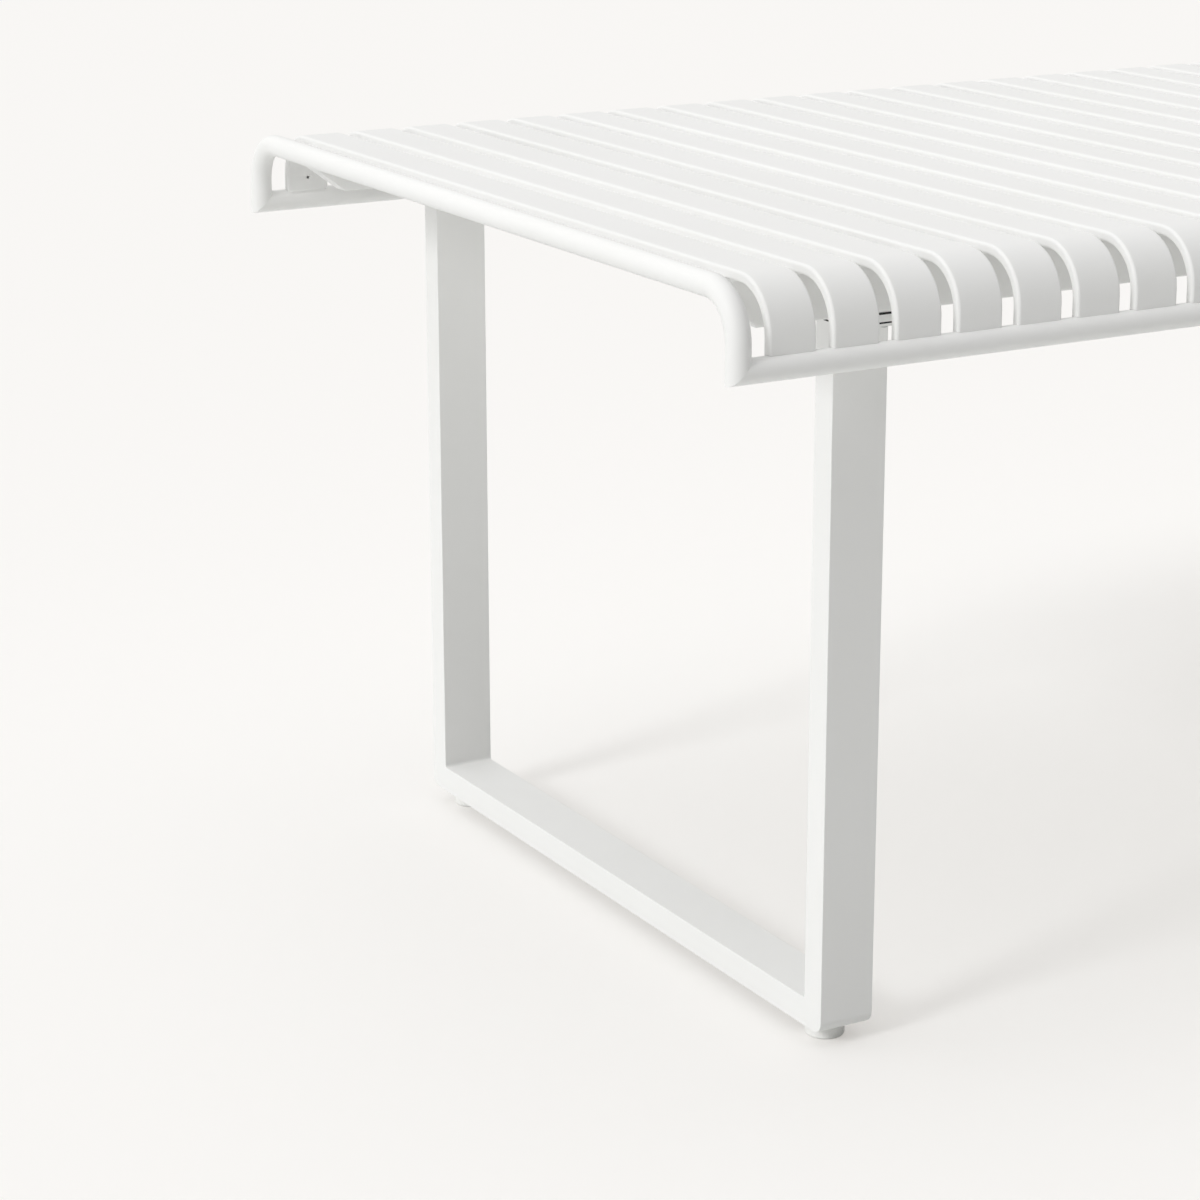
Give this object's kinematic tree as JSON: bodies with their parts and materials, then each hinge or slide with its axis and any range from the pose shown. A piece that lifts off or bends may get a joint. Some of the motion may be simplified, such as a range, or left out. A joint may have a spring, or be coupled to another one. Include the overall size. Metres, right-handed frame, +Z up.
{
  "type": "outdoor dining table",
  "caption": "Long outdoor table of white powder-coated aluminium: flat slats rolled down at the long edges onto round side rails, round end hoops, U-shaped leg frames and levelling glides.",
  "frame": {"origin": "middle of the footprint on the floor", "axes": "+X along the length, +Y across the depth from front to back, +Z up"},
  "size_m": [2.02, 0.982, 0.75],
  "materials": {
    "powder_coat": "fine matt white powder coat on aluminium",
    "black_rubber": "matt black sheet rubber",
    "bare_steel": "plain stainless steel",
    "white_plastic": "moulded white plastic"
  },
  "bodies": {
    "table": {"end_hoop_left": "powder_coat", "end_hoop_right": "powder_coat", "side_rail_front": "powder_coat", "side_rail_back": "powder_coat", "slat_01": "powder_coat", "slat_02": "powder_coat", "slat_03": "powder_coat", "slat_04": "powder_coat", "slat_05": "powder_coat", "slat_06": "powder_coat", "slat_07": "powder_coat", "slat_08": "powder_coat", "slat_09": "powder_coat", "slat_10": "powder_coat", "slat_11": "powder_coat", "slat_12": "powder_coat", "slat_13": "powder_coat", "slat_14": "powder_coat", "slat_15": "powder_coat", "slat_16": "powder_coat", "slat_17": "powder_coat", "slat_18": "powder_coat", "slat_19": "powder_coat", "slat_20": "powder_coat", "slat_21": "powder_coat", "slat_22": "powder_coat", "slat_23": "powder_coat", "slat_24": "powder_coat", "slat_25": "powder_coat", "slat_26": "powder_coat", "slat_27": "powder_coat", "slat_28": "powder_coat", "slat_29": "powder_coat", "slat_30": "powder_coat", "slat_31": "powder_coat", "beam_front": "powder_coat", "beam_back": "powder_coat", "cross_bar_left": "powder_coat", "cross_bar_right": "powder_coat", "post_front_left": "powder_coat", "post_back_left": "powder_coat", "post_front_right": "powder_coat", "post_back_right": "powder_coat", "foot_rail_left": "powder_coat", "foot_rail_right": "powder_coat", "post_cap_plates": "powder_coat", "beam_pads": "black_rubber", "cap_pads": "black_rubber", "beam_screws": "bare_steel", "bar_screws": "bare_steel", "rivet_nuts": "bare_steel", "glide_inserts": "bare_steel"},
    "stud_front_left": {"glide_stud_front_left": "bare_steel"},
    "foot_front_left": {"glide_foot_front_left": "white_plastic"},
    "stud_back_left": {"glide_stud_back_left": "bare_steel"},
    "foot_back_left": {"glide_foot_back_left": "white_plastic"},
    "stud_front_right": {"glide_stud_front_right": "bare_steel"},
    "foot_front_right": {"glide_foot_front_right": "white_plastic"},
    "stud_back_right": {"glide_stud_back_right": "bare_steel"},
    "foot_back_right": {"glide_foot_back_right": "white_plastic"}
  },
  "joints": [
    {"name": "glide_travel_front_left", "type": "slide", "parent": "table", "child": "stud_front_left", "axis": [0, 0, -1], "range_m": [0, 0.01]},
    {"name": "glide_turn_front_left", "type": "hinge", "parent": "stud_front_left", "child": "foot_front_left", "pos_m": [-0.82, -0.3585, 0.01], "axis": [0, 0, -1], "range_deg": [0, 2880]},
    {"name": "glide_travel_back_left", "type": "slide", "parent": "table", "child": "stud_back_left", "axis": [0, 0, -1], "range_m": [0, 0.01]},
    {"name": "glide_turn_back_left", "type": "hinge", "parent": "stud_back_left", "child": "foot_back_left", "pos_m": [-0.82, 0.3585, 0.01], "axis": [0, 0, -1], "range_deg": [0, 2880]},
    {"name": "glide_travel_front_right", "type": "slide", "parent": "table", "child": "stud_front_right", "axis": [0, 0, -1], "range_m": [0, 0.01]},
    {"name": "glide_turn_front_right", "type": "hinge", "parent": "stud_front_right", "child": "foot_front_right", "pos_m": [0.82, -0.3585, 0.01], "axis": [0, 0, -1], "range_deg": [0, 2880]},
    {"name": "glide_travel_back_right", "type": "slide", "parent": "table", "child": "stud_back_right", "axis": [0, 0, -1], "range_m": [0, 0.01]},
    {"name": "glide_turn_back_right", "type": "hinge", "parent": "stud_back_right", "child": "foot_back_right", "pos_m": [0.82, 0.3585, 0.01], "axis": [0, 0, -1], "range_deg": [0, 2880]}
  ],
  "couplings": [
    {"joint": "glide_travel_front_left", "follows": "glide_turn_front_left", "m_per_rad": 0.00019894},
    {"joint": "glide_travel_back_left", "follows": "glide_turn_back_left", "m_per_rad": 0.00019894},
    {"joint": "glide_travel_front_right", "follows": "glide_turn_front_right", "m_per_rad": 0.00019894},
    {"joint": "glide_travel_back_right", "follows": "glide_turn_back_right", "m_per_rad": 0.00019894}
  ]
}
